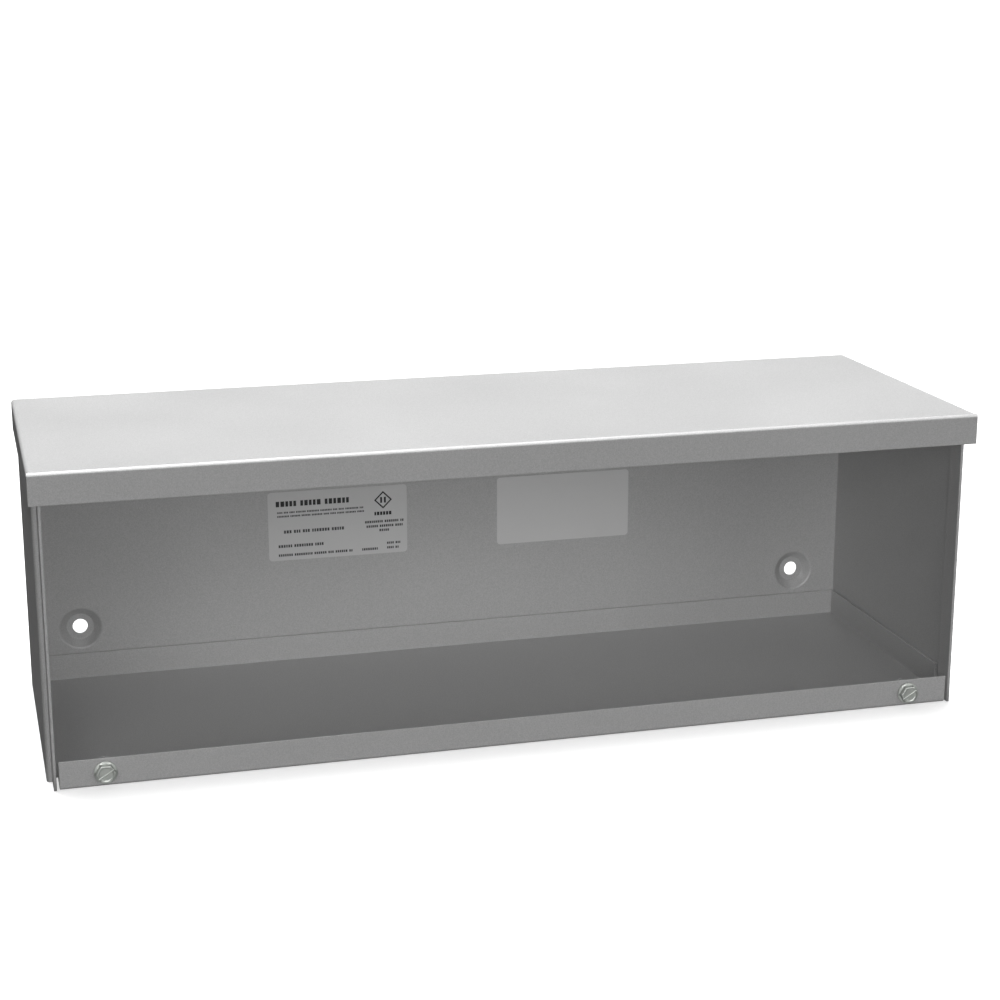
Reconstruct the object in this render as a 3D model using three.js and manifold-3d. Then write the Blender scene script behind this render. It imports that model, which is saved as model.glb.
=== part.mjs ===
// Rainproof wiring trough, the sheet-metal enclosure that stands beside meter sockets and panels.
// Its slip-on front cover is off. Millimetres, +Z up, +X along the length, front facing -Y,
// origin at the centre of the footprint.
import * as THREE from 'three';
import { mergeVertices } from 'three/addons/utils/BufferGeometryUtils.js';
import Module from 'manifold-3d';

const wasm = await Module();
wasm.setup();

// Driving dimensions.
const insideWidth = 609.6;
const bodyDepth = 203.2;
const overallHeight = 204.2;
const sheet = 1.9;
const fit = 0.3;
const bendRadius = 0.5;
const bendSteps = 4;

// Body: back panel, side walls, and the lips that the cover slides over.
const lipLength = 15.4;
const lipStep = 3.5;

// Cap: drip lip along the front, flanges down both ends.
const dripLipHeight = 20.3;
const dripOverhang = 6.2;

// Pan: floor with upturned flanges and the front lip that takes the cover screws.
const panFlangeHeight = 20;
const frontLipHeight = 18.8;
const frontLipGap = 1.7;
const cornerRelief = 21.8;

// Mounting dimples pressed out of the back, so that the back stands off the wall.
const dimpleDepth = 4.8;
const dimpleRadius = 14.7;
const padRadius = 9.5;
const mountHoleRadius = 5.25;
const mountInset = 38.1;
const dimpleSides = 32;

// Cover screws: slotted, indented hex washer head, quarter-inch shank.
const hexAcrossFlats = 11.1;
const headHeight = 4.6;
const washerRadius = 7.3;
const washerHeight = 1.2;
const dishRadius = 5;
const dishWall = 1.2;
const dishDepth = 0.9;
const slotWidth = 1.6;
const slotDepth = 1.6;
const slotAngle = THREE.MathUtils.degToRad(32);
const shankRadius = 2.85;
const shankLength = 12.7;
const screwHeight = 9.4;
const screwInset = 37.6;
const screwSides = 32;
const collarLength = 1.7;
const collarRadius = 4.6;
const retainerRadius = 6.2;
const retainerThickness = 0.8;
const retainerFromTip = 0.9;

// Labels on the back panel.
const labelWidth = 101.6;
const labelHeight = 50.8;
const labelThickness = 0.35;
const labelCornerRadius = 2.6;
const labelOffset = 84.7;

// Faces worked out from the dimensions above.
const wallInner = insideWidth / 2;
const wallOuter = wallInner + sheet;
const capOuter = wallOuter + fit + sheet;
const overallDepth = dripOverhang + bodyDepth + dimpleDepth;
const capFront = -overallDepth / 2;
const capBack = overallDepth / 2;
const bodyFront = capFront + dripOverhang;
const backOuter = bodyFront + bodyDepth;
const backInner = backOuter - sheet;
const capUnderside = overallHeight - sheet;
const bodyTop = capUnderside - fit;
const panBack = backInner - fit;
const panSide = wallInner - fit;
const webFront = bodyFront + lipLength;
const lipInner = wallInner - lipStep;
const frontLipEnd = lipInner - frontLipGap;
const bendOuter = bendRadius + sheet;
const mountX = capOuter - mountInset;
const mountZ = mountInset;
const screwX = capOuter - screwInset;

const paintedSteel = { color: 0x86888a, roughness: 0.55, metalness: 0.3 };
const zincPlate = { color: 0xb4bab2, roughness: 0.3, metalness: 0.9 };
const springSteel = { color: 0x6f7274, roughness: 0.4, metalness: 0.9 };
const labelFilm = { color: 0x96979a, roughness: 0.4, metalness: 0.2 };

// Outline of a bent sheet: a strip of the sheet's thickness that follows a centreline,
// with an arc on both faces at each bend.
function bentStrip(centreline) {
  const leftFace = [];
  const rightFace = [];
  const place = (point, normal) => {
    leftFace.push(point.clone().addScaledVector(normal, sheet / 2));
    rightFace.push(point.clone().addScaledVector(normal, -sheet / 2));
  };
  const points = centreline.map(([u, v]) => new THREE.Vector2(u, v));
  const legs = points.slice(1).map((point, i) => point.clone().sub(points[i]).normalize());
  const normals = legs.map((leg) => new THREE.Vector2(-leg.y, leg.x));
  const origin = new THREE.Vector2();
  place(points[0], normals[0]);
  for (let i = 1; i < legs.length; i += 1) {
    const turn = Math.atan2(legs[i - 1].cross(legs[i]), legs[i - 1].dot(legs[i]));
    const radius = (bendRadius + sheet / 2) * Math.sign(turn);
    const tangent = Math.abs(radius * Math.tan(turn / 2));
    const centre = points[i].clone().addScaledVector(legs[i - 1], -tangent);
    centre.addScaledVector(normals[i - 1], radius);
    for (let step = 0; step <= bendSteps; step += 1) {
      const normal = normals[i - 1].clone().rotateAround(origin, (turn * step) / bendSteps);
      place(centre.clone().addScaledVector(normal, -radius), normal);
    }
  }
  place(points.at(-1), normals.at(-1));
  return new THREE.Shape([...leftFace, ...rightFace.reverse()]);
}

function mirrored(points) {
  return [...points, ...points.map(([u, v]) => [-u, v]).reverse()];
}

// Extrusions of an outline in plan (x, y), in front view (x, z) and in side view (y, z).
function extrude(shape, depth) {
  return new THREE.ExtrudeGeometry(shape, { depth, bevelEnabled: false });
}

function extrudeUp(shape, low, high) {
  return extrude(shape, high - low).translate(0, 0, low);
}

function extrudeBack(shape, front, back) {
  return extrude(shape, back - front).rotateX(Math.PI / 2).translate(0, back, 0);
}

function extrudeAcross(shape, left, right) {
  const axes = [[0, 1, 0], [0, 0, 1], [1, 0, 0]].map((axis) => new THREE.Vector3(...axis));
  const sideView = new THREE.Matrix4().makeBasis(...axes);
  return extrude(shape, right - left).applyMatrix4(sideView).translate(left, 0, 0);
}

// A round solid about the Y axis from (radius, y) points that start and end on the axis.
function turned(profile, sides) {
  return new THREE.LatheGeometry(profile.map(([r, y]) => new THREE.Vector2(r, y)), sides);
}

function solid(geometry) {
  geometry.deleteAttribute('normal');
  geometry.deleteAttribute('uv');
  const merged = mergeVertices(geometry, 1e-4);
  const vertProperties = new Float32Array(merged.attributes.position.array);
  const triVerts = new Uint32Array(merged.index.array);
  return new wasm.Manifold(new wasm.Mesh({ numProp: 3, vertProperties, triVerts }));
}

function toGeometry(body) {
  const { vertProperties, triVerts } = body.getMesh();
  const geometry = new THREE.BufferGeometry();
  geometry.setAttribute('position', new THREE.BufferAttribute(vertProperties, 3));
  geometry.setIndex(new THREE.BufferAttribute(triVerts, 1));
  return geometry;
}

function piece(name, body, finish) {
  const geometry = toGeometry(body).toNonIndexed();
  geometry.computeVertexNormals();
  const mesh = new THREE.Mesh(geometry, new THREE.MeshStandardMaterial(finish));
  mesh.name = name;
  return mesh;
}

// Body wrap: one sheet bent into back, side walls, steps and forward lips.
function bodyWrap() {
  const wallMid = wallInner + sheet / 2;
  const rightHalf = [
    [wallMid, backOuter - sheet / 2],
    [wallMid, webFront + sheet / 2],
    [wallMid - lipStep, webFront + sheet / 2],
    [wallMid - lipStep, bodyFront],
  ].reverse();
  let wrap = solid(extrudeUp(bentStrip(mirrored(rightHalf)), 0, bodyTop));
  for (const x of [-mountX, mountX]) {
    for (const z of [mountZ, overallHeight - mountZ]) {
      wrap = wrap.add(solid(dimpleBoss().translate(x, backInner, z)));
      wrap = wrap.subtract(solid(dimpleHollow().translate(x, backInner, z)));
    }
  }
  return wrap;
}

// The sheet keeps its thickness round the dimple, so the back face sits outside the front one.
const slope = Math.atan2(dimpleDepth, dimpleRadius - padRadius);
const faceShift = sheet * Math.tan(slope / 2);

function dimpleBoss() {
  return turned([
    [0, sheet / 2],
    [dimpleRadius + faceShift, sheet / 2],
    [dimpleRadius + faceShift, sheet],
    [padRadius + faceShift, sheet + dimpleDepth],
    [0, sheet + dimpleDepth],
  ], dimpleSides);
}

function dimpleHollow() {
  const clear = 1;
  const rounding = 1.2;
  const drop = rounding * Math.sin(slope / 2) * Math.tan(slope / 2);
  return turned([
    [0, -clear],
    [dimpleRadius + rounding, -clear],
    [dimpleRadius + rounding * Math.tan(slope / 2), 0],
    [dimpleRadius - drop, drop],
    [padRadius, dimpleDepth],
    [mountHoleRadius, dimpleDepth],
    [mountHoleRadius, dimpleDepth + sheet + clear],
    [0, dimpleDepth + sheet + clear],
  ], dimpleSides);
}

// Top cap: the drip lip runs the full width, and the end flanges start behind its bend.
function topCap() {
  const lap = 0.5;
  const topMid = overallHeight - sheet / 2;
  const lowEdge = overallHeight - dripLipHeight;
  const endFlanges = mirrored([
    [-capOuter + sheet / 2, lowEdge],
    [-capOuter + sheet / 2, topMid],
  ]);
  const dripLip = [
    [capFront + sheet / 2, lowEdge],
    [capFront + sheet / 2, topMid],
    [capFront + bendOuter + lap, topMid],
  ];
  const top = solid(extrudeBack(bentStrip(endFlanges), capFront + bendOuter, capBack));
  return top.add(solid(extrudeAcross(bentStrip(dripLip), -capOuter, capOuter)));
}

// Bottom pan: floor with end flanges, a back flange that closes behind them, and a narrower front tongue.
function bottomPan() {
  const floorMid = sheet / 2;
  const reliefBack = bodyFront + cornerRelief;
  const lap = 0.5;
  const channelBack = panBack - bendOuter;
  const endFlanges = mirrored([
    [-panSide + sheet / 2, panFlangeHeight],
    [-panSide + sheet / 2, floorMid],
  ]);
  const backFlange = [
    [channelBack - lap, floorMid],
    [panBack - sheet / 2, floorMid],
    [panBack - sheet / 2, panFlangeHeight],
  ];
  const frontLip = [
    [bodyFront + sheet / 2, frontLipHeight],
    [bodyFront + sheet / 2, floorMid],
    [reliefBack + lap, floorMid],
  ];
  const backEnd = panSide - fit;
  let pan = solid(extrudeBack(bentStrip(endFlanges), reliefBack, channelBack));
  pan = pan.add(solid(extrudeAcross(bentStrip(backFlange), -backEnd, backEnd)));
  pan = pan.add(solid(extrudeAcross(bentStrip(frontLip), -frontLipEnd, frontLipEnd)));
  for (const x of [-screwX, screwX]) {
    pan = pan.add(solid(tappedCollar().translate(x, bodyFront, screwHeight)));
    pan = pan.subtract(solid(tappedHole().translate(x, bodyFront, screwHeight)));
  }
  return pan;
}

function tappedCollar() {
  return turned([
    [0, sheet / 2],
    [collarRadius, sheet / 2],
    [collarRadius, sheet + collarLength],
    [0, sheet + collarLength],
  ], screwSides);
}

function tappedHole() {
  const clear = 1;
  return turned([
    [0, -clear],
    [shankRadius + fit, -clear],
    [shankRadius + fit, sheet + collarLength + clear],
    [0, sheet + collarLength + clear],
  ], screwSides);
}

// Cover screw, with its head's underside at y = 0 and its shank running back along +Y.
function coverScrew() {
  const hexRadius = hexAcrossFlats / Math.sqrt(3);
  const chamfer = 0.6;
  const corners = Array.from({ length: 6 }, (_, i) => {
    const angle = (i * Math.PI) / 3;
    return new THREE.Vector2(hexRadius * Math.cos(angle), hexRadius * Math.sin(angle));
  });
  const hex = solid(extrudeBack(new THREE.Shape(corners), -headHeight, -washerHeight / 2));
  const crown = solid(turned([
    [0, -headHeight],
    [hexAcrossFlats / 2 - chamfer / 2, -headHeight],
    [hexRadius + chamfer / 2, -headHeight + 2 * chamfer],
    [hexRadius + chamfer / 2, 0],
    [0, 0],
  ], screwSides));
  const flange = solid(turned([
    [0, -washerHeight],
    [washerRadius - 0.4, -washerHeight],
    [washerRadius, -washerHeight / 2],
    [washerRadius, 0],
    [shankRadius, 0],
    [shankRadius, shankLength - 0.8],
    [shankRadius - 0.6, shankLength],
    [0, shankLength],
  ], screwSides));
  const dish = solid(turned([
    [0, -headHeight - 1],
    [dishRadius, -headHeight - 1],
    [dishRadius, -headHeight],
    [dishRadius - dishWall, -headHeight + dishDepth],
    [0, -headHeight + dishDepth],
  ], screwSides));
  const slot = new THREE.BoxGeometry(4 * washerRadius, 2 * slotDepth, slotWidth);
  slot.rotateY(-slotAngle).translate(0, -headHeight, 0);
  return hex.intersect(crown).add(flange).subtract(dish).subtract(solid(slot));
}

function screwRetainer() {
  const hole = shankRadius + fit;
  return solid(turned([
    [hole, 0],
    [retainerRadius, 0],
    [retainerRadius, retainerThickness],
    [hole, retainerThickness],
    [hole, 0],
  ], screwSides));
}

function label() {
  const outline = new THREE.Shape();
  const cornerX = labelWidth / 2 - labelCornerRadius;
  const cornerZ = labelHeight / 2 - labelCornerRadius;
  const quarter = Math.PI / 2;
  const corners = [[1, 1], [-1, 1], [-1, -1], [1, -1]];
  corners.forEach(([sideX, sideZ], i) => {
    const start = i * quarter;
    outline.absarc(sideX * cornerX, sideZ * cornerZ, labelCornerRadius, start, start + quarter);
  });
  const geometry = new THREE.ExtrudeGeometry(outline, {
    depth: labelThickness,
    bevelEnabled: false,
    curveSegments: bendSteps,
  });
  return solid(geometry.rotateX(Math.PI / 2));
}

const trough = new THREE.Group();
trough.add(piece('body_wrap', bodyWrap(), paintedSteel));
trough.add(piece('top_cap', topCap(), paintedSteel));
trough.add(piece('bottom_pan', bottomPan(), paintedSteel));

const headSeat = bodyFront - fit;
const retainerFront = headSeat + shankLength - retainerFromTip - retainerThickness;
for (const [side, x] of [['left', -screwX], ['right', screwX]]) {
  const screw = piece(`cover_screw_${side}`, coverScrew(), zincPlate);
  const retainer = piece(`screw_retainer_${side}`, screwRetainer(), springSteel);
  screw.position.set(x, headSeat, screwHeight);
  retainer.position.set(x, retainerFront, screwHeight);
  trough.add(screw, retainer);
}

for (const [name, x] of [['rating_label', -labelOffset], ['blank_label', labelOffset]]) {
  const plate = piece(name, label(), labelFilm);
  plate.position.set(x, backInner - fit, overallHeight / 2);
  trough.add(plate);
}

export default trough;
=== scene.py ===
"""Looks of a rainproof wiring trough: bent, powder-coated sheets, captive cover screws and labels."""

import math
import random

import bmesh
import bpy
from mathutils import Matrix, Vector


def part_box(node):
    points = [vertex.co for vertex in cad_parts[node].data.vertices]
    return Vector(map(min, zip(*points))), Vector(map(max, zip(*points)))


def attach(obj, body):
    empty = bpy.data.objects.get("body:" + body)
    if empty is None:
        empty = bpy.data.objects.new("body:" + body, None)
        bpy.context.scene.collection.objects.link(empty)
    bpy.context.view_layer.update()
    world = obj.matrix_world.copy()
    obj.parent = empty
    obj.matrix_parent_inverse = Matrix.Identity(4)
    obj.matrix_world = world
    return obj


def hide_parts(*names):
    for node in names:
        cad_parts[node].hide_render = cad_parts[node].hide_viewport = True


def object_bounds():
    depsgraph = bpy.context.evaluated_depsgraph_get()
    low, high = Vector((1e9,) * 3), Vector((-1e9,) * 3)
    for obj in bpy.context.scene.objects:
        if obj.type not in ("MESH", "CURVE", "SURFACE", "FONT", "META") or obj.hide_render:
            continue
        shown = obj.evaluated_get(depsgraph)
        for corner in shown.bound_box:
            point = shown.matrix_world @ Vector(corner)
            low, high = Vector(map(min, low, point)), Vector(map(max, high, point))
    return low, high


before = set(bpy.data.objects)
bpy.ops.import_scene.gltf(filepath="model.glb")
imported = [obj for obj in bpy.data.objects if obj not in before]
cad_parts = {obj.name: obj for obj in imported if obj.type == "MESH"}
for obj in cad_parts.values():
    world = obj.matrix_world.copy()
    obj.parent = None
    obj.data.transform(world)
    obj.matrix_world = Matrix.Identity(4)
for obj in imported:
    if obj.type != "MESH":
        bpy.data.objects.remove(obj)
cad_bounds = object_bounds()

MM = 0.001

# Sheet metal: the gauge, its inside bend radius, and the rounding of its cut edges.
SHEET = 1.9 * MM
BEND_RADIUS = 0.5 * MM
BEND_OUTER = BEND_RADIUS + SHEET
BEND_STEPS = 8
EDGE = 0.3 * MM
EDGE_STEPS = 3
RELIEF = 0.3 * MM
ROUND_SIDES = 72

# Places that come from the CAD nodes.
body_low, body_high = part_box("body_wrap")
cap_low, cap_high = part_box("top_cap")
pan_low, pan_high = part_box("bottom_pan")
screw_low, screw_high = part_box("cover_screw_right")
ring_low, ring_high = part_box("screw_retainer_right")
model_low, model_high = (Vector(corner) for corner in cad_bounds)

# Body
LIP_LENGTH = 15.4 * MM
LIP_STEP = 3.5 * MM
DIMPLE_DEPTH = 4.8 * MM
DIMPLE_RADIUS = 14.7 * MM
PAD_RADIUS = 9.5 * MM
MOUNT_HOLE = 5.25 * MM
MOUNT_INSET = 38.1 * MM
DIMPLE_BEND = 1.1 * MM
DIMPLE_CELL = 18 * MM
mount_x = cap_high.x - MOUNT_INSET
mount_z = (MOUNT_INSET, model_high.z - MOUNT_INSET)
back_outer = body_high.y - DIMPLE_DEPTH
back_inner = back_outer - SHEET

# Pan
FRONT_LIP_HEIGHT = 18.8 * MM
CORNER_RELIEF = 21.8 * MM
FRONT_LIP_GAP = 1.7 * MM
COLLAR_LENGTH = 1.7 * MM
COLLAR_RADIUS = 4.6 * MM
COLLAR_CELL = 6.4 * MM
front_lip_end = body_high.x - SHEET - LIP_STEP - FRONT_LIP_GAP

# Screws
screw_x = (screw_low.x + screw_high.x) / 2
screw_z = (screw_low.z + screw_high.z) / 2
WASHER_RADIUS = (screw_high.x - screw_low.x) / 2
WASHER_HEIGHT = 1.2 * MM
WASHER_EDGE = 0.8 * MM
HEAD_HEIGHT = 4.6 * MM
WASHER_FILLET = 0.25 * MM
HEX_FLATS = 11.1 * MM
HEX_CORNER_CUT = 0.12 * MM
CROWN_INSET = 0.65 * MM
CROWN_DROP = 0.6 * MM
DISH_RADIUS = 4.75 * MM
DISH_WALL = 1.1 * MM
DISH_DEPTH = 0.7 * MM
DISH_SLOPE = math.radians(48)
DISH_STEPS = 4
SLOT_WIDTH = 1.6 * MM
SLOT_DEPTH = 1.6 * MM
SLOT_ANGLE = math.radians(32)
SLOT_ROUND = 0.7 * MM
SLOT_STEPS = 8
PITCH = 1.27 * MM
THREAD_MAJOR = 3.1 * MM
THREAD_MINOR = 2.5 * MM
THREAD_POINT = 0.8 * MM
THREAD_RUNOUT = 0.6 * MM
TAPPED_RADIUS = 3.15 * MM
head_seat = screw_low.y + HEAD_HEIGHT
shank_end = screw_high.y

# Labels
LABEL_CORNER = 2.6 * MM
LABEL_FILM = 0.15 * MM
LABEL_LIFT = 0.04 * MM
LABEL_BEVEL = 0.04 * MM
PRINT_FILM = 0.02 * MM
PRINT_LIFT = 0.005 * MM

# Lines of print: their weight, where they start and end from the label's left edge, how far their
# middle is below its top edge, and the height of a letter, all in millimetres.
PRINT_LINES = [
    ("bold", 5.8, 61.5, 8.8, 4.0),
    ("fine", 6.6, 70.0, 15.2, 1.3),
    ("fine", 6.6, 70.0, 18.0, 1.3),
    ("fine", 11.2, 56.0, 29.6, 2.3),
    ("fine", 7.0, 41.0, 40.2, 2.1),
    ("fine", 7.0, 62.0, 46.9, 1.8),
    ("fine", 68.0, 80.0, 46.9, 1.8),
    ("fine", 70.5, 99.6, 26.6, 1.8),
    ("fine", 71.5, 98.6, 30.0, 1.8),
    ("fine", 81.0, 88.5, 33.2, 1.8),
    ("fine", 86.5, 97.5, 43.2, 1.7),
    ("fine", 86.5, 95.5, 46.7, 1.7),
    ("bold", 77.5, 91.0, 20.6, 2.6),
]

# Diamond mark: where its centre is from the label's top left corner, the reach of its outline and of
# its opening, and the bars inside it.
MARK_PLACE = (84 * MM, 10.6 * MM)
MARK_OUTER = 6.6 * MM
MARK_INNER = 5.2 * MM
MARK_BAR_OFFSET = 1.4 * MM
MARK_BAR_HALF = (0.7 * MM, 2.2 * MM)

# Colours of the bare surfaces, as linear light.
COAT_GREY = (0.40, 0.40, 0.40)
ZINC_GREY = (0.42, 0.44, 0.415)
STEEL_GREY = (0.30, 0.30, 0.30)
RATING_GREY = (0.57, 0.57, 0.57)
BLANK_GREY = (0.61, 0.61, 0.61)
BOLD_INK = (0.012, 0.012, 0.013)
FINE_INK = (0.05, 0.05, 0.052)
FLOOR_GREY = (0.6, 0.6, 0.6, 1)
WHITE = (1, 1, 1, 1)

# Camera: its turn to the left of straight on and its height over level, and its distance and target,
# which are parts of the width and the height of the trough. The target is measured from the middle.
CAMERA_AZIMUTH = math.radians(15.1)
CAMERA_ELEVATION = math.radians(15.0)
CAMERA_LENS = 74.55
CAMERA_DISTANCE = 2.291
TARGET_ACROSS = 0.01486
TARGET_UP = 0.1778


# ---------------------------------------------------------------- mesh tools


def new_object(name, bm, body, stands_for=None):
    """A piece from a bmesh, riding on a CAD body."""
    bmesh.ops.recalc_face_normals(bm, faces=bm.faces)
    mesh = bpy.data.meshes.new(name)
    bm.to_mesh(mesh)
    bm.free()
    for polygon in mesh.polygons:
        polygon.use_smooth = True
    piece = bpy.data.objects.new(name, mesh)
    bpy.context.scene.collection.objects.link(piece)
    if stands_for:
        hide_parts(stands_for)
    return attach(piece, body)


def keep_flats_flat(piece):
    """Large faces keep their own normal, and the small faces of bends and edges blend into them."""
    weighted = piece.modifiers.new("flat faces", "WEIGHTED_NORMAL")
    weighted.weight = 100
    weighted.keep_sharp = True


class BendPath:
    """The middle line of a bent sheet, in two dimensions, measured along its length."""

    def __init__(self, corners, radius=BEND_RADIUS + SHEET / 2, steps=BEND_STEPS):
        points = [Vector(corner) for corner in corners]
        legs = [(b - a).normalized() for a, b in zip(points, points[1:])]
        normals = [Vector((-leg.y, leg.x)) for leg in legs]
        self.knots = [(0.0, points[0], normals[0])]
        self.leg_starts = [0]
        for i in range(1, len(legs)):
            turn = math.atan2(legs[i - 1].cross(legs[i]), legs[i - 1].dot(legs[i]))
            signed = math.copysign(radius, turn)
            start = points[i] - legs[i - 1] * abs(signed * math.tan(turn / 2))
            centre = start + normals[i - 1] * signed
            self._add(start, normals[i - 1], (start - self.knots[-1][1]).length)
            for step in range(1, steps + 1):
                part = turn * step / steps
                cos, sin = math.cos(part), math.sin(part)
                n = normals[i - 1]
                normal = Vector((n.x * cos - n.y * sin, n.x * sin + n.y * cos))
                self._add(centre - normal * signed, normal, abs(radius * turn / steps))
            self.leg_starts.append(len(self.knots) - 1)
        self._add(points[-1], normals[-1], (points[-1] - self.knots[-1][1]).length)

    def _add(self, point, normal, distance):
        self.knots.append((self.knots[-1][0] + distance, point, normal))

    def measure_from(self, leg, axis):
        """Shifts the distances, so that on one leg they are the coordinate along an axis."""
        distance, point, _ = self.knots[self.leg_starts[leg]]
        shift = point[axis] - distance
        self.knots = [(d + shift, p, n) for d, p, n in self.knots]
        return self

    def leg_range(self, leg):
        """The distances at which the flat part of a leg starts and ends."""
        start = self.leg_starts[leg]
        return self.knots[start][0], self.knots[start + 1][0]

    def distances(self):
        return [knot[0] for knot in self.knots]

    def at(self, distance):
        """The point and the normal at a distance."""
        last = len(self.knots) - 2
        i = next((k for k in range(last) if distance < self.knots[k + 1][0]), last)
        (d0, p0, n0), (d1, p1, n1) = self.knots[i], self.knots[i + 1]
        part = (distance - d0) / (d1 - d0)
        return p0.lerp(p1, part), n0.lerp(n1, min(max(part, 0), 1)).normalized()


def stations(*groups):
    """Sorted distances, with those closer than a hundredth of a millimetre taken as one."""
    closest = 0.01 * MM
    found = []
    for value in sorted(v for group in groups for v in group):
        if not found or value - found[-1] > closest:
            found.append(value)
    return found


def rounded_edge():
    """(inset, height) steps round a cut edge, from one face of the sheet to the other."""
    flat = SHEET / 2 - EDGE
    quarter = [math.radians(90 * k / EDGE_STEPS) for k in range(EDGE_STEPS + 1)]
    upper = [(EDGE * (1 - math.cos(a)), flat + EDGE * math.sin(a)) for a in reversed(quarter)]
    return upper + [(inset, -height) for inset, height in reversed(upper)]


class Sheet:
    """A closed mesh of a flat pattern of cells, bent into shape, with rounded cut edges.

    place(u, v) gives the point and normal of the middle of the sheet, and keep(u, v) says whether
    the cell around a point belongs to the pattern. A pierced feature fills one square cell."""

    def __init__(self, across, along, place, keep, features=()):
        self.across, self.along, self.place = across, along, place
        self.bm = bmesh.new()
        self.wear = self.bm.verts.layers.float.new("edge")
        self.cells = {
            (i, j)
            for i in range(len(across) - 1)
            for j in range(len(along) - 1)
            if keep((across[i] + across[i + 1]) / 2, (along[j] + along[j + 1]) / 2)
        }
        self.rings = {}
        self.inward = {}
        self._find_edges()
        pierced = {self._cell_of(feature): feature for feature in features}
        for cell in self.cells:
            if cell in pierced:
                self._pierce(cell, pierced[cell])
            else:
                self._cover(cell)
        self._close_edges()

    def _cell_of(self, feature):
        i = max(k for k, u in enumerate(self.across) if u < feature["u"])
        j = max(k for k, v in enumerate(self.along) if v < feature["v"])
        return i, j

    def _find_edges(self):
        """Lists the sides of cells where the pattern ends, and which way is inward at their ends."""
        self.edges = []
        sides = [((-1, 0), (0, 0), (0, 1)), ((1, 0), (1, 0), (1, 1))]
        sides += [((0, -1), (0, 0), (1, 0)), ((0, 1), (0, 1), (1, 1))]
        for i, j in self.cells:
            for (di, dj), a, b in sides:
                if (i + di, j + dj) in self.cells:
                    continue
                ends = (i + a[0], j + a[1]), (i + b[0], j + b[1])
                self.edges.append(ends)
                for corner in ends:
                    way = self.inward.setdefault(corner, [0, 0])
                    way[0] = max(-1, min(1, way[0] - di))
                    way[1] = max(-1, min(1, way[1] - dj))

    def _ring(self, corner):
        """The vertices at a grid corner, from the upper face of the sheet to the lower one."""
        if corner not in self.rings:
            u, v = self.across[corner[0]], self.along[corner[1]]
            way = self.inward.get(corner)
            steps = rounded_edge() if way else [(0, SHEET / 2), (0, -SHEET / 2)]
            ring = []
            for inset, height in steps:
                du, dv = (way[0] * inset, way[1] * inset) if way else (0, 0)
                point, normal = self.place(u + du, v + dv)
                vertex = self.bm.verts.new(point + normal * height)
                vertex[self.wear] = 1.0 if way and abs(height) < SHEET / 2 - EDGE / 4 else 0.0
                ring.append(vertex)
            self.rings[corner] = ring
        return self.rings[corner]

    def _cell_corners(self, cell):
        i, j = cell
        return [self._ring(c) for c in ((i, j), (i + 1, j), (i + 1, j + 1), (i, j + 1))]

    def _cover(self, cell):
        """The upper and the lower face of a plain cell."""
        for side in (0, -1):
            self.bm.faces.new([ring[side] for ring in self._cell_corners(cell)])

    def _close_edges(self):
        for a, b in self.edges:
            first, second = self._ring(a), self._ring(b)
            for k in range(len(first) - 1):
                self.bm.faces.new((first[k], first[k + 1], second[k + 1], second[k]))

    def _pierce(self, cell, feature):
        """A round feature: rings of vertices from the upper face, through the sheet, to the lower."""
        u, v, profile = feature["u"], feature["v"], feature["profile"]
        centre, normal = self.place(u, v)
        side = (self.place(u + MM, v)[0] - centre).normalized()
        up = (self.place(u, v + MM)[0] - centre).normalized()
        rings = []
        for radius, height in profile:
            ring = []
            for k in range(ROUND_SIDES):
                angle = math.tau * k / ROUND_SIDES
                offset = side * math.cos(angle) + up * math.sin(angle)
                ring.append(self.bm.verts.new(centre + offset * radius + normal * height))
            rings.append(ring)
        for first, second in zip(rings, rings[1:]):
            for k in range(ROUND_SIDES):
                n = (k + 1) % ROUND_SIDES
                self.bm.faces.new((first[k], first[n], second[n], second[k]))
        corners = self._cell_corners(cell)
        quarter = ROUND_SIDES // 4
        for face, ring in ((0, rings[0]), (-1, rings[-1])):
            outer = [corners[c][face] for c in (2, 3, 0, 1)]
            for q in range(4):
                for k in range(q * quarter, (q + 1) * quarter):
                    self.bm.faces.new((outer[q], ring[k], ring[(k + 1) % ROUND_SIDES]))
                at = ((q + 1) * quarter) % ROUND_SIDES
                self.bm.faces.new((outer[q], ring[at], outer[(q + 1) % 4]))


def polar_mesh(rings):
    """A skin over rings about the Y axis, open at both ends, and its rows of vertices. A ring is
    (radius, y), and its radius may be a function of the angle."""
    bm = bmesh.new()
    rows = []
    for radius, y in rings:
        row = []
        for k in range(ROUND_SIDES):
            angle = math.tau * k / ROUND_SIDES
            r = radius(angle) if callable(radius) else radius
            row.append(bm.verts.new((r * math.cos(angle), y, r * math.sin(angle))))
        rows.append(row)
    for first, second in zip(rows, rows[1:]):
        for k in range(ROUND_SIDES):
            n = (k + 1) % ROUND_SIDES
            bm.faces.new((first[k], first[n], second[n], second[k]))
    return bm, rows


# ---------------------------------------------------------------- body wrap


def dimple_profile():
    """The bent section of a mounting dimple, from the back face, round the hole, to the front face."""
    slope = math.atan2(DIMPLE_DEPTH, DIMPLE_RADIUS - PAD_RADIUS)
    shift = SHEET / 2 * math.tan(slope / 2)
    just_inside_cell = DIMPLE_CELL - MM / 2
    corners = [
        (just_inside_cell, 0),
        (DIMPLE_RADIUS + shift, 0),
        (PAD_RADIUS + shift, DIMPLE_DEPTH),
        (MOUNT_HOLE, DIMPLE_DEPTH),
    ]
    section = BendPath(corners, radius=DIMPLE_BEND + SHEET / 2, steps=6)
    back, front = [], []
    for _, point, normal in section.knots:
        back.append(point - normal * SHEET / 2)
        front.append(point + normal * SHEET / 2)
    hole = [
        Vector((MOUNT_HOLE + inset, DIMPLE_DEPTH + height)) for inset, height in rounded_edge()
    ]
    return [tuple(p) for p in back[:-1] + hole + front[-2::-1]]


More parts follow.
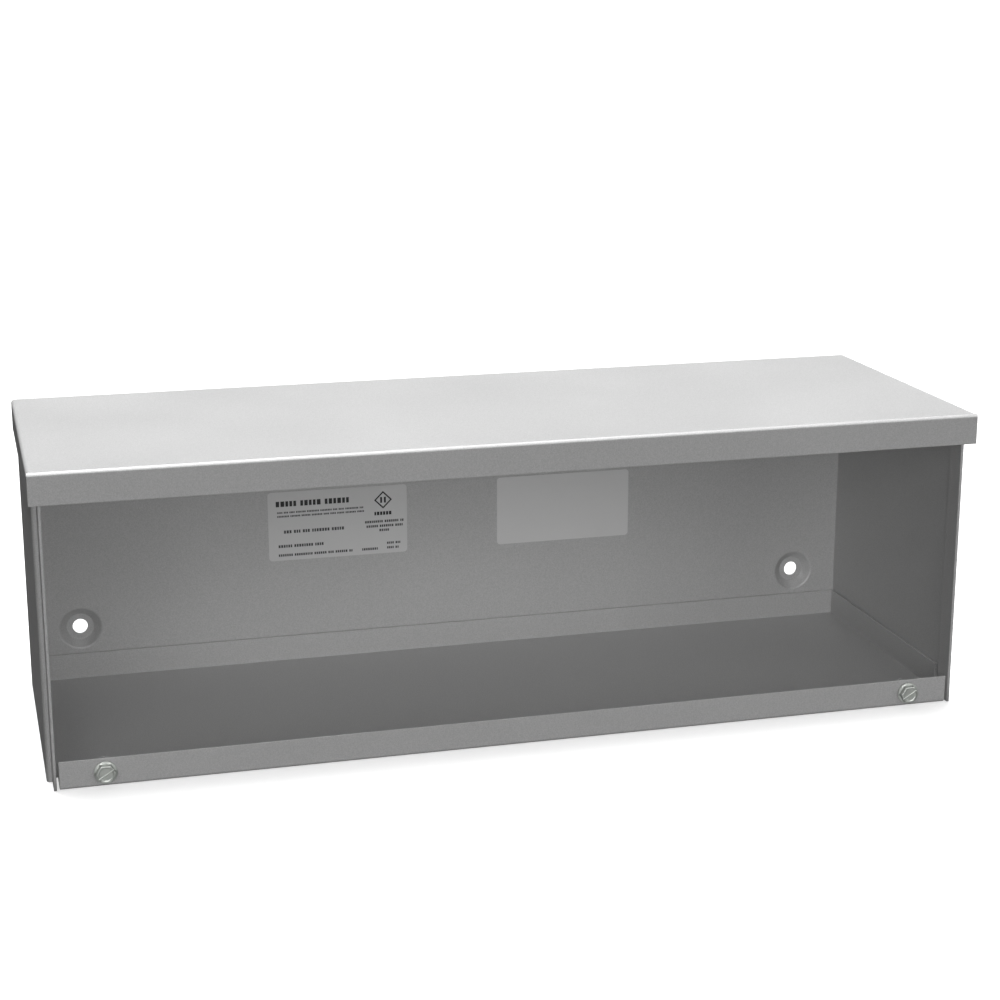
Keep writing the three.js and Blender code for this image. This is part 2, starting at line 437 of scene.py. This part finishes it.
def build_body_wrap():
    """Front lips, stepped end walls and the back, bent from one strip that stands upright."""
    lip_x = body_high.x - SHEET / 2 - LIP_STEP
    wall_x = body_high.x - SHEET / 2
    web_y = body_low.y + LIP_LENGTH + SHEET / 2
    back_y = back_outer - SHEET / 2
    left = [(-lip_x, body_low.y), (-lip_x, web_y), (-wall_x, web_y), (-wall_x, back_y)]
    corners = left + [(-x, y) for x, y in reversed(left)]
    path = BendPath(corners).measure_from(3, 0)
    cell_edges = [side * mount_x + edge for side in (-1, 1) for edge in (-DIMPLE_CELL, DIMPLE_CELL)]
    across = stations(path.distances(), cell_edges)
    heights = [z + edge for z in mount_z for edge in (-DIMPLE_CELL, DIMPLE_CELL)]
    along = stations([0, body_high.z], heights)

    def place(u, v):
        point, normal = path.at(u)
        return Vector((point.x, point.y, v)), Vector((normal.x, normal.y, 0))

    dimples = [
        {"u": x, "v": z, "profile": dimple_profile()} for x in (-mount_x, mount_x) for z in mount_z
    ]
    sheet = Sheet(across, along, place, lambda u, v: True, dimples)
    return new_object("wrap", sheet.bm, "enclosure", "body_wrap")


# ---------------------------------------------------------------- top cap


def build_top_cap():
    """Top with a full-width drip lip in front and a flange down each end, slit at the front bend."""
    side_x = cap_high.x - SHEET / 2
    mid_z = cap_high.z - SHEET / 2
    front_y = cap_low.y + SHEET / 2
    ends = [(-side_x, cap_low.z), (-side_x, mid_z), (side_x, mid_z), (side_x, cap_low.z)]
    end_path = BendPath(ends).measure_from(1, 0)
    drip = [(front_y, cap_low.z), (front_y, mid_z), (cap_high.y, mid_z)]
    drip_path = BendPath(drip).measure_from(1, 0)
    flat_half = end_path.leg_range(1)[1]
    slit_start = drip_path.leg_range(1)[0]
    slit_end = slit_start + RELIEF
    slit_side = flat_half - RELIEF
    across = stations(
        end_path.distances(), [-cap_high.x, cap_high.x], [-slit_side, slit_side]
    )
    along = stations(drip_path.distances(), [slit_end])

    def place(u, v):
        if v < slit_start + RELIEF / 2:
            point, normal = drip_path.at(v)
            return Vector((u, point.x, point.y)), Vector((0, normal.x, normal.y))
        point, normal = end_path.at(u)
        return Vector((point.x, v, point.y)), Vector((normal.x, 0, normal.y))

    def keep(u, v):
        if v < slit_start:
            return abs(u) < cap_high.x
        return v > slit_end or abs(u) < slit_side

    sheet = Sheet(across, along, place, keep)
    return new_object("cap", sheet.bm, "enclosure", "top_cap")


# ---------------------------------------------------------------- bottom pan


def collar_profile():
    """A tapped hole with an extruded collar behind the lip, from the rear face to the front one."""
    front = -SHEET / 2
    rear = SHEET / 2
    tip = rear + COLLAR_LENGTH
    chamfer = 0.3 * MM
    return [
        (COLLAR_RADIUS + 2 * chamfer, rear),
        (COLLAR_RADIUS + chamfer / 2, rear + chamfer),
        (COLLAR_RADIUS, tip - chamfer),
        (COLLAR_RADIUS - chamfer / 3, tip - chamfer / 3),
        (COLLAR_RADIUS - chamfer, tip),
        (TAPPED_RADIUS + chamfer / 2, tip),
        (TAPPED_RADIUS, tip - chamfer / 2),
        (TAPPED_RADIUS, front + chamfer),
        (TAPPED_RADIUS + chamfer, front),
    ]


def build_bottom_pan():
    """Floor with end flanges, a full-width back flange, and a narrower tongue to the front lip."""
    side_x = pan_high.x - SHEET / 2
    floor_z = SHEET / 2
    front_y = pan_low.y + SHEET / 2
    back_y = pan_high.y - SHEET / 2
    top_z = pan_high.z
    ends = [(-side_x, top_z), (-side_x, floor_z), (side_x, floor_z), (side_x, top_z)]
    end_path = BendPath(ends).measure_from(1, 0)
    section = [(front_y, FRONT_LIP_HEIGHT), (front_y, floor_z), (back_y, floor_z), (back_y, top_z)]
    depth_path = BendPath(section).measure_from(1, 0)
    floor_front, floor_back = depth_path.leg_range(1)
    flat_half = end_path.leg_range(1)[1]
    relief_y = pan_low.y + CORNER_RELIEF
    slit_y = floor_back - RELIEF
    slit_side = flat_half - RELIEF
    back_end = pan_high.x - RELIEF
    lip_cells = [s * screw_x + e for s in (-1, 1) for e in (-COLLAR_CELL, COLLAR_CELL)]
    across = stations(
        end_path.distances(),
        [s * x for s in (-1, 1) for x in (front_lip_end, slit_side, back_end)],
        lip_cells,
    )
    lip_foot = depth_path.leg_range(0)[1]
    screw_v = lip_foot - (screw_z - BEND_OUTER)
    along = stations(
        depth_path.distances(),
        [relief_y, slit_y],
        [screw_v - COLLAR_CELL, screw_v + COLLAR_CELL],
    )

    def place(u, v):
        if floor_front < v < floor_back - RELIEF / 2:
            point, normal = end_path.at(u)
            return Vector((point.x, v, point.y)), Vector((normal.x, 0, normal.y))
        point, normal = depth_path.at(v)
        return Vector((u, point.x, point.y)), Vector((0, normal.x, normal.y))

    def keep(u, v):
        if v < relief_y:
            return abs(u) < front_lip_end
        if v < slit_y:
            return True
        return abs(u) < (slit_side if v < floor_back else back_end)

    collars = [{"u": s * screw_x, "v": screw_v, "profile": collar_profile()} for s in (-1, 1)]
    sheet = Sheet(across, along, place, keep, collars)
    return new_object("pan", sheet.bm, "enclosure", "bottom_pan")


# ---------------------------------------------------------------- screws


def hex_radius(angle, inset=0.0):
    """Distance from the axis to a hexagon with a flat on top, its corners slightly rounded."""
    within = angle % math.radians(60) - math.radians(30)
    flats = HEX_FLATS / 2 - inset
    corner = flats / math.cos(math.radians(30)) - HEX_CORNER_CUT
    return min(flats / math.cos(within), corner)


def thread_crest(phase):
    """How far a thread stands out at a part of its pitch: flat crest, sloping flanks, flat root."""
    return min(1, max(0, 1.7 - abs(phase - 0.5) * 5.2))


def thread_rings(start, end):
    """Rings down a shank whose radius follows a helical thread, fading out at both ends."""
    count = int((end - start) / (PITCH / 10))
    rings = []
    for k in range(count + 1):
        y = start + (end - start) * k / count
        fade = max(0, min(1, (end - y) / THREAD_POINT, (y - start) / THREAD_RUNOUT))

        def radius(angle, y=y, fade=fade):
            crest = thread_crest((y / PITCH + angle / math.tau) % 1)
            return THREAD_MINOR + (THREAD_MAJOR - THREAD_MINOR) * crest * fade

        rings.append((radius, y))
    return rings


def dish_rings():
    """The bowl in the top of the head: an even arc from its flat floor, steepening to the rim."""
    rings = [(0.3 * MM, DISH_DEPTH - HEAD_HEIGHT)]
    for step in range(DISH_STEPS + 1):
        angle = DISH_SLOPE * step / DISH_STEPS
        outward = math.sin(angle) / math.sin(DISH_SLOPE)
        sunk = (math.cos(angle) - math.cos(DISH_SLOPE)) / (1 - math.cos(DISH_SLOPE))
        rings.append((DISH_RADIUS - DISH_WALL * (1 - outward), DISH_DEPTH * sunk - HEAD_HEIGHT))
    return rings


def hexagon_rings():
    """The rim of the dish, the rounded crown, and the flats down to the fillet on the washer."""
    rim = 0.1 * MM
    return [
        (DISH_RADIUS + rim, -HEAD_HEIGHT),
        (lambda a: hex_radius(a, CROWN_INSET), -HEAD_HEIGHT),
        (lambda a: hex_radius(a, CROWN_INSET / 2), CROWN_DROP / 4 - HEAD_HEIGHT),
        (lambda a: hex_radius(a, CROWN_INSET / 6), CROWN_DROP / 2 - HEAD_HEIGHT),
        (hex_radius, CROWN_DROP - HEAD_HEIGHT),
        (hex_radius, -WASHER_HEIGHT - WASHER_FILLET),
        (lambda a: hex_radius(a) + 0.6 * WASHER_FILLET, -WASHER_HEIGHT),
    ]


def washer_rings():
    """The washer's slightly conical top, its rounded edge, and the underside in to the shank."""
    shoulder = 0.4 * MM
    round_off = 0.12 * MM
    return [
        (WASHER_RADIUS - shoulder, -WASHER_EDGE),
        (WASHER_RADIUS - round_off, 0.1 * MM - WASHER_EDGE),
        (WASHER_RADIUS, 0.3 * MM - WASHER_EDGE),
        (WASHER_RADIUS, -round_off),
        (WASHER_RADIUS - round_off, 0),
        (THREAD_MINOR + 0.3 * MM, 0),
    ]


def build_screw(side):
    """Slotted, indented hex washer head on a threaded shank."""
    sign = -1 if side == "left" else 1
    rings = dish_rings() + hexagon_rings() + washer_rings()
    rings += thread_rings(0.05 * MM, shank_end - head_seat)
    bm, rows = polar_mesh(rings)
    bm.faces.new(rows[0])
    bm.faces.new(rows[-1])
    for vertex in bm.verts:
        vertex.co += Vector((sign * screw_x, head_seat, screw_z))
    piece = new_object(f"screw_{side}", bm, f"screw_{side}", f"cover_screw_{side}")
    cut_slot(piece, Vector((sign * screw_x, screw_low.y, screw_z)))
    return piece


def slot_cutter(centre):
    """A bar across the head, rounded along its inner edge, as an object that isn't in the scene."""
    half = SLOT_WIDTH / 2
    outline = [(-half, -SLOT_DEPTH)]
    for step in range(SLOT_STEPS + 1):
        angle = math.pi * step / SLOT_STEPS
        outline.append((-half * math.cos(angle), SLOT_DEPTH - SLOT_ROUND * (1 - math.sin(angle))))
    outline.append((half, -SLOT_DEPTH))
    along = Vector((math.cos(SLOT_ANGLE), 0, math.sin(SLOT_ANGLE)))
    across = Vector((-math.sin(SLOT_ANGLE), 0, math.cos(SLOT_ANGLE)))
    bm = bmesh.new()
    ends = [
        [
            bm.verts.new(centre + along * end * 2 * WASHER_RADIUS + across * w + Vector((0, y, 0)))
            for w, y in outline
        ]
        for end in (-1, 1)
    ]
    for i in range(len(outline)):
        j = (i + 1) % len(outline)
        bm.faces.new((ends[0][i], ends[0][j], ends[1][j], ends[1][i]))
    bm.faces.new(ends[0][::-1])
    bm.faces.new(ends[1])
    bmesh.ops.recalc_face_normals(bm, faces=bm.faces)
    mesh = bpy.data.meshes.new("slot cutter")
    bm.to_mesh(mesh)
    bm.free()
    return bpy.data.objects.new("slot cutter", mesh)


def cut_slot(piece, centre):
    """Cuts the driver slot across the head, whose face has its centre at a point."""
    cutter = slot_cutter(centre)
    bpy.context.scene.collection.objects.link(cutter)
    boolean = piece.modifiers.new("slot", "BOOLEAN")
    boolean.operation = "DIFFERENCE"
    boolean.solver = "EXACT"
    boolean.object = cutter
    bpy.context.view_layer.update()
    evaluated = piece.evaluated_get(bpy.context.evaluated_depsgraph_get())
    cut = bpy.data.meshes.new_from_object(evaluated)
    piece.modifiers.remove(boolean)
    piece.data = cut
    bpy.data.objects.remove(cutter)
    sharpen(piece, 28)


def sharpen(piece, degrees):
    """Marks the edges that turn more than an angle as sharp, and smooths the rest."""
    bm = bmesh.new()
    bm.from_mesh(piece.data)
    for edge in bm.edges:
        edge.smooth = edge.calc_face_angle(0) < math.radians(degrees)
    for face in bm.faces:
        face.smooth = True
    bm.to_mesh(piece.data)
    bm.free()


def build_retainer(side):
    """Push-on ring: a dished washer whose bore is notched into gripping tabs."""
    sign = -1 if side == "left" else 1
    outer = (ring_high.x - ring_low.x) / 2
    thick = 0.4 * MM
    depth = ring_high.y - ring_low.y
    notches = 6
    notch_length = 1.3 * MM
    notch_half_share = 0.09

    def inner(angle):
        within = (angle * notches / math.tau) % 1
        notched = abs(within - 0.5) < notch_half_share
        return TAPPED_RADIUS + (notch_length if notched else 0)

    round_off = 0.1 * MM
    rings = [
        (inner, thick - round_off),
        (lambda a: inner(a) + round_off, thick),
        (outer * 0.8, depth),
        (outer - round_off, depth),
        (outer, depth - round_off),
        (outer, depth - thick + round_off),
        (outer - round_off, depth - thick),
        (outer * 0.8, depth - thick),
        (lambda a: inner(a) + round_off, 0),
        (inner, round_off),
    ]
    bm, rows = polar_mesh(rings)
    for k in range(ROUND_SIDES):
        n = (k + 1) % ROUND_SIDES
        bm.faces.new((rows[-1][k], rows[-1][n], rows[0][n], rows[0][k]))
    for vertex in bm.verts:
        vertex.co += Vector((sign * screw_x, ring_low.y, screw_z))
    piece = new_object(
        f"retainer_{side}", bm, f"retainer_{side}", f"screw_retainer_{side}"
    )
    sharpen(piece, 40)
    return piece


# ---------------------------------------------------------------- labels


def rounded_rectangle(low, high, radius, steps=8):
    """Points of a rectangle in x and z with rounded corners."""
    points = []
    centres = [(high[0], high[1], 0), (low[0], high[1], 1), (low[0], low[1], 2), (high[0], low[1], 3)]
    for x, z, quarter in centres:
        cx = x - radius if quarter in (0, 3) else x + radius
        cz = z - radius if quarter in (0, 1) else z + radius
        for k in range(steps + 1):
            angle = math.radians(90) * (quarter + k / steps)
            points.append((cx + radius * math.cos(angle), cz + radius * math.sin(angle)))
    return points


def add_plate(bm, outline, back, front, bevel=0.0):
    """A closed plate between two depths, with its front edge optionally bevelled."""
    middle_x = sum(x for x, _ in outline) / len(outline)
    middle_z = sum(z for _, z in outline) / len(outline)
    reach = max(math.hypot(x - middle_x, z - middle_z) for x, z in outline)

    def row(y, inset):
        shrink = 1 - inset / reach
        return [
            bm.verts.new((middle_x + (x - middle_x) * shrink, y, middle_z + (z - middle_z) * shrink))
            for x, z in outline
        ]

    rows = [row(back, 0)]
    if bevel:
        rows.append(row(front + bevel, 0))
    rows.append(row(front, bevel))
    for first, second in zip(rows, rows[1:]):
        for k in range(len(outline)):
            n = (k + 1) % len(outline)
            bm.faces.new((first[k], first[n], second[n], second[k]))
    bm.faces.new(rows[0])
    bm.faces.new(rows[-1])


def build_label(node, name):
    """A film with rounded corners on the back panel."""
    low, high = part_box(node)
    bm = bmesh.new()
    outline = rounded_rectangle((low.x, low.z), (high.x, high.z), LABEL_CORNER)
    back = back_inner - LABEL_LIFT
    add_plate(bm, outline, back, back - LABEL_FILM, LABEL_BEVEL)
    piece = new_object(name, bm, "enclosure", node)
    sharpen(piece, 30)
    return piece


def add_print_line(bm, dice, corner, start, end, middle, height):
    """Words of blocks in the places of letters. The measures are those of PRINT_LINES, from the
    label's top left corner."""
    letter = 0.62 * height
    letter_gap = 0.22 * height
    word_gap = 0.55 * height
    top = corner.z - (middle - height / 2) * MM
    bottom = corner.z - (middle + height / 2) * MM
    at = start
    while at + 2 * letter < end:
        for _ in range(dice.randint(3, 9)):
            if at + letter > end:
                break
            width = letter * dice.choice((0.8, 1, 1, 1.1))
            left = corner.x + at * MM
            right = left + width * MM
            block = [(right, top), (left, top), (left, bottom), (right, bottom)]
            add_plate(bm, block, corner.y - PRINT_LIFT, corner.y - PRINT_FILM)
            at += width + letter_gap
        at += word_gap


def add_diamond_mark(bm, centre):
    """Two bars in a hollow diamond, in the place of an approval mark."""
    back = centre.y - PRINT_LIFT
    front = centre.y - PRINT_FILM
    ways = [(1, 0), (0, 1), (-1, 0), (0, -1)]
    section = [(back, MARK_OUTER), (front, MARK_OUTER), (front, MARK_INNER), (back, MARK_INNER)]
    rows = [
        [bm.verts.new((centre.x + a * reach, y, centre.z + b * reach)) for a, b in ways]
        for y, reach in section
    ]
    for i, first in enumerate(rows):
        second = rows[(i + 1) % len(rows)]
        for k in range(4):
            n = (k + 1) % 4
            bm.faces.new((first[k], first[n], second[n], second[k]))
    half_width, half_height = MARK_BAR_HALF
    for side in (-1, 1):
        x = centre.x + side * MARK_BAR_OFFSET
        left, right = x - half_width, x + half_width
        bottom, top = centre.z - half_height, centre.z + half_height
        bar = [(right, top), (left, top), (left, bottom), (right, bottom)]
        add_plate(bm, bar, back, front)


def build_print():
    """Greeked print on the rating label: lines of small blocks and a plain diamond mark."""
    low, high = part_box("rating_label")
    corner = Vector((low.x, back_inner - LABEL_LIFT - LABEL_FILM, high.z))
    dice = random.Random(7)
    meshes = {"bold": bmesh.new(), "fine": bmesh.new()}
    for weight, *measures in PRINT_LINES:
        add_print_line(meshes[weight], dice, corner, *measures)
    across, down = MARK_PLACE
    add_diamond_mark(meshes["bold"], corner + Vector((across, 0, -down)))
    pieces = []
    for weight, bm in meshes.items():
        piece = new_object(f"print_{weight}", bm, "enclosure")
        sharpen(piece, 30)
        pieces.append(piece)
    return pieces


# ---------------------------------------------------------------- materials


class Nodes:
    """A material's node tree, with short ways to add what the materials share."""

    def __init__(self, name):
        self.material = bpy.data.materials.new(name)
        self.material.use_nodes = True
        self.tree = self.material.node_tree
        self.shader = self.tree.nodes["Principled BSDF"]
        self.coordinates = self.tree.nodes.new("ShaderNodeTexCoord").outputs["Object"]

    def link(self, a, b):
        self.tree.links.new(a, b)

    def noise(self, scale, detail=3.0, roughness=0.5, stretch=None):
        node = self.tree.nodes.new("ShaderNodeTexNoise")
        node.inputs["Scale"].default_value = scale
        node.inputs["Detail"].default_value = detail
        node.inputs["Roughness"].default_value = roughness
        source = self.coordinates
        if stretch:
            mapping = self.tree.nodes.new("ShaderNodeMapping")
            mapping.inputs["Scale"].default_value = stretch
            self.link(source, mapping.inputs["Vector"])
            source = mapping.outputs["Vector"]
        self.link(source, node.inputs["Vector"])
        return node.outputs["Fac"]

    def ramp(self, source, low, high, start=0.0, end=1.0):
        """A value that goes from low to high as the source goes from start to end."""
        node = self.tree.nodes.new("ShaderNodeMapRange")
        node.inputs["From Min"].default_value = start
        node.inputs["From Max"].default_value = end
        node.inputs["To Min"].default_value = low
        node.inputs["To Max"].default_value = high
        self.link(source, node.inputs["Value"])
        return node.outputs["Result"]

    def math(self, operation, a, b):
        node = self.tree.nodes.new("ShaderNodeMath")
        node.operation = operation
        for socket, value in zip(node.inputs, (a, b)):
            if isinstance(value, (int, float)):
                socket.default_value = value
            else:
                self.link(value, socket)
        return node.outputs["Value"]

    def tint(self, colour, factor):
        """A colour times a varying factor."""
        node = self.tree.nodes.new("ShaderNodeVectorMath")
        node.operation = "SCALE"
        node.inputs[0].default_value = colour
        self.link(factor, node.inputs["Scale"])
        return node.outputs["Vector"]

    def base_colour(self, colour, factor):
        self.link(self.tint(colour, factor), self.shader.inputs["Base Color"])

    def roughness(self, value):
        self.link(value, self.shader.inputs["Roughness"])

    def bump(self, height, strength, distance):
        node = self.tree.nodes.new("ShaderNodeBump")
        node.inputs["Strength"].default_value = strength
        node.inputs["Distance"].default_value = distance
        self.link(height, node.inputs["Height"])
        self.link(node.outputs["Normal"], self.shader.inputs["Normal"])


def powder_coat():
    """Grey powder coat: fine orange peel, a faint speckle, and thinner paint on the cut edges."""
    nodes = Nodes("powder coat")
    nodes.shader.inputs["Specular IOR Level"].default_value = 1.0
    peel = nodes.noise(700, detail=2)
    speckle = nodes.noise(1500, detail=2, roughness=0.6)
    cloud = nodes.noise(9, detail=3)
    speckle_shade = nodes.ramp(speckle, 0.85, 1.15, 0.3, 0.7)
    cloud_shade = nodes.ramp(cloud, 0.97, 1.03)
    edge = nodes.tree.nodes.new("ShaderNodeAttribute")
    edge.attribute_name = "edge"
    wear = nodes.ramp(nodes.noise(260, detail=4), 0, 0.08, 0.4, 0.7)
    worn_edge = nodes.math("MULTIPLY", edge.outputs["Fac"], wear)
    shade = nodes.math("ADD", nodes.math("MULTIPLY", speckle_shade, cloud_shade), worn_edge)
    nodes.base_colour(COAT_GREY, shade)
    nodes.roughness(nodes.ramp(cloud, 0.44, 0.50, 0.3, 0.7))
    nodes.bump(nodes.math("ADD", peel, nodes.math("MULTIPLY", speckle, 0.35)), 0.35, 0.06 * MM)
    return nodes.material


def zinc_plate():
    """Dull zinc plate on a cold-headed screw: satin grey, with a faint green cast."""
    nodes = Nodes("zinc plate")
    cloud = nodes.noise(700, detail=4)
    grain = nodes.noise(5200, detail=2)
    nodes.shader.inputs["Metallic"].default_value = 0.4
    nodes.base_colour(ZINC_GREY, nodes.ramp(cloud, 0.94, 1.06))
    nodes.roughness(nodes.ramp(cloud, 0.34, 0.40, 0.3, 0.7))
    nodes.bump(grain, 0.2, 0.02 * MM)
    return nodes.material


def spring_steel():
    """Dark, oily steel with a patchy shine."""
    nodes = Nodes("spring steel")
    cloud = nodes.noise(900, detail=4)
    nodes.shader.inputs["Metallic"].default_value = 1.0
    nodes.base_colour(STEEL_GREY, nodes.ramp(cloud, 0.8, 1.15))
    nodes.roughness(nodes.ramp(cloud, 0.3, 0.5, 0.3, 0.7))
    nodes.bump(nodes.noise(4000), 0.2, 0.02 * MM)
    return nodes.material


def label_film(name, colour):
    """Silver-grey film: nearly even, with a slight haze and a fine matt surface."""
    nodes = Nodes(name)
    cloud = nodes.noise(24, detail=3)
    grain = nodes.noise(5000, detail=1)
    cloud_shade = nodes.ramp(cloud, 0.98, 1.02)
    grain_shade = nodes.ramp(grain, 0.97, 1.03, 0.3, 0.7)
    nodes.base_colour(colour, nodes.math("MULTIPLY", cloud_shade, grain_shade))
    nodes.roughness(nodes.ramp(cloud, 0.34, 0.44, 0.3, 0.7))
    nodes.bump(grain, 0.1, 0.01 * MM)
    return nodes.material


def ink(name, colour):
    """Matt ink, unevenly laid."""
    nodes = Nodes(name)
    wear = nodes.noise(2600, detail=3)
    nodes.base_colour(colour, nodes.ramp(wear, 0.75, 1.3, 0.3, 0.7))
    nodes.roughness(nodes.ramp(wear, 0.5, 0.65))
    return nodes.material


def paint(piece, material):
    piece.data.materials.clear()
    piece.data.materials.append(material)


# ---------------------------------------------------------------- studio


# Soft suns. Azimuth and elevation of the source are in degrees (azimuth 0 is in front, at -Y, and 90 is
# at +X), then its angular size in degrees and its strength, then whether it casts shadows, and whether
# it lights surfaces or is only seen in reflections.
LIGHTS = {
    "overhead": (180, 82, 20, 5.25, True, True),
    "front_steep": (0, 50, 40, 0.18, True, True),
    "front_left": (-20, 18, 30, 0.38, True, True),
    "left": (-38, 8, 30, 0.34, True, True),
    "right": (40, 8, 40, 0.59, True, True),
    "front_fill": (-20, 14, 20, 0.48, False, True),
    "top_fill": (0, 89, 20, 0.33, False, True),
    "sheen_above": (5, 50, 60, 3.0, True, False),
    "sheen_below": (5, -45, 60, 0.8, False, False),
}


def build_lights():
    """A sun for each row of LIGHTS, turned towards the trough."""
    for name, (azimuth, elevation, size, strength, shadow, diffuse) in LIGHTS.items():
        data = bpy.data.lights.new(name, "SUN")
        data.energy = strength
        data.angle = math.radians(size)
        data.use_shadow = shadow
        light = bpy.data.objects.new(name, data)
        light.visible_diffuse = diffuse
        turn = math.radians(azimuth)
        tilt = math.radians(elevation)
        across = math.cos(tilt)
        towards = Vector((math.sin(turn) * across, -math.cos(turn) * across, math.sin(tilt)))
        light.rotation_euler = towards.to_track_quat("Z", "Y").to_euler()
        bpy.context.scene.collection.objects.link(light)


def build_floor():
    """A wide, pale floor that glows a little, so that shadows on it stay light. It throws no light
    back up on the object."""
    half_width = 200
    gap_under_trough = 0.2 * MM
    bm = bmesh.new()
    bmesh.ops.create_grid(bm, x_segments=1, y_segments=1, size=half_width)
    mesh = bpy.data.meshes.new("floor")
    bm.to_mesh(mesh)
    bm.free()
    floor = bpy.data.objects.new("floor", mesh)
    floor.location.z = model_low.z - gap_under_trough
    floor.visible_diffuse = False
    floor.visible_glossy = False
    bpy.context.scene.collection.objects.link(floor)
    nodes = Nodes("floor")
    nodes.shader.inputs["Base Color"].default_value = FLOOR_GREY
    nodes.shader.inputs["Emission Color"].default_value = WHITE
    nodes.shader.inputs["Emission Strength"].default_value = 0.55
    nodes.shader.inputs["Roughness"].default_value = 0.9
    nodes.shader.inputs["Specular IOR Level"].default_value = 0
    paint(floor, nodes.material)


def build_backdrop():
    """Near-white for the camera, and almost dark for everything else."""
    world = bpy.data.worlds.new("studio")
    bpy.context.scene.world = world
    world.use_nodes = True
    tree = world.node_tree
    background = tree.nodes["Background"]
    background.inputs["Color"].default_value = WHITE
    light_path = tree.nodes.new("ShaderNodeLightPath")
    strength = tree.nodes.new("ShaderNodeMapRange")
    strength.inputs["To Min"].default_value = 0.02
    strength.inputs["To Max"].default_value = 0.93
    tree.links.new(light_path.outputs["Is Camera Ray"], strength.inputs["Value"])
    tree.links.new(strength.outputs["Result"], background.inputs["Strength"])
    bpy.context.scene.view_settings.view_transform = "Standard"


def build_camera():
    """From the front left, a little above, with a slightly long lens."""
    width = model_high.x - model_low.x
    height = model_high.z - model_low.z
    middle = (model_low + model_high) / 2
    target = middle + Vector((TARGET_ACROSS * width, 0, TARGET_UP * height))
    forward = Vector((
        math.cos(CAMERA_ELEVATION) * math.sin(CAMERA_AZIMUTH),
        math.cos(CAMERA_ELEVATION) * math.cos(CAMERA_AZIMUTH),
        -math.sin(CAMERA_ELEVATION),
    ))
    data = bpy.data.cameras.new("camera")
    data.lens = CAMERA_LENS
    data.clip_end = 100
    camera = bpy.data.objects.new("camera", data)
    camera.location = target - forward * CAMERA_DISTANCE * width
    camera.rotation_euler = forward.to_track_quat("-Z", "Y").to_euler()
    bpy.context.scene.collection.objects.link(camera)
    bpy.context.scene.camera = camera


# ---------------------------------------------------------------- the trough

build_camera()
build_lights()
build_floor()
build_backdrop()

coat = powder_coat()
for build in (build_body_wrap, build_top_cap, build_bottom_pan):
    sheet_piece = build()
    keep_flats_flat(sheet_piece)
    paint(sheet_piece, coat)

zinc, steel = zinc_plate(), spring_steel()
for side_name in ("left", "right"):
    paint(build_screw(side_name), zinc)
    paint(build_retainer(side_name), steel)

rating_film = build_label("rating_label", "rating_film")
blank_film = build_label("blank_label", "blank_film")
paint(rating_film, label_film("rating film", RATING_GREY))
paint(blank_film, label_film("blank film", BLANK_GREY))
bold_print, fine_print = build_print()
paint(bold_print, ink("bold ink", BOLD_INK))
paint(fine_print, ink("fine ink", FINE_INK))
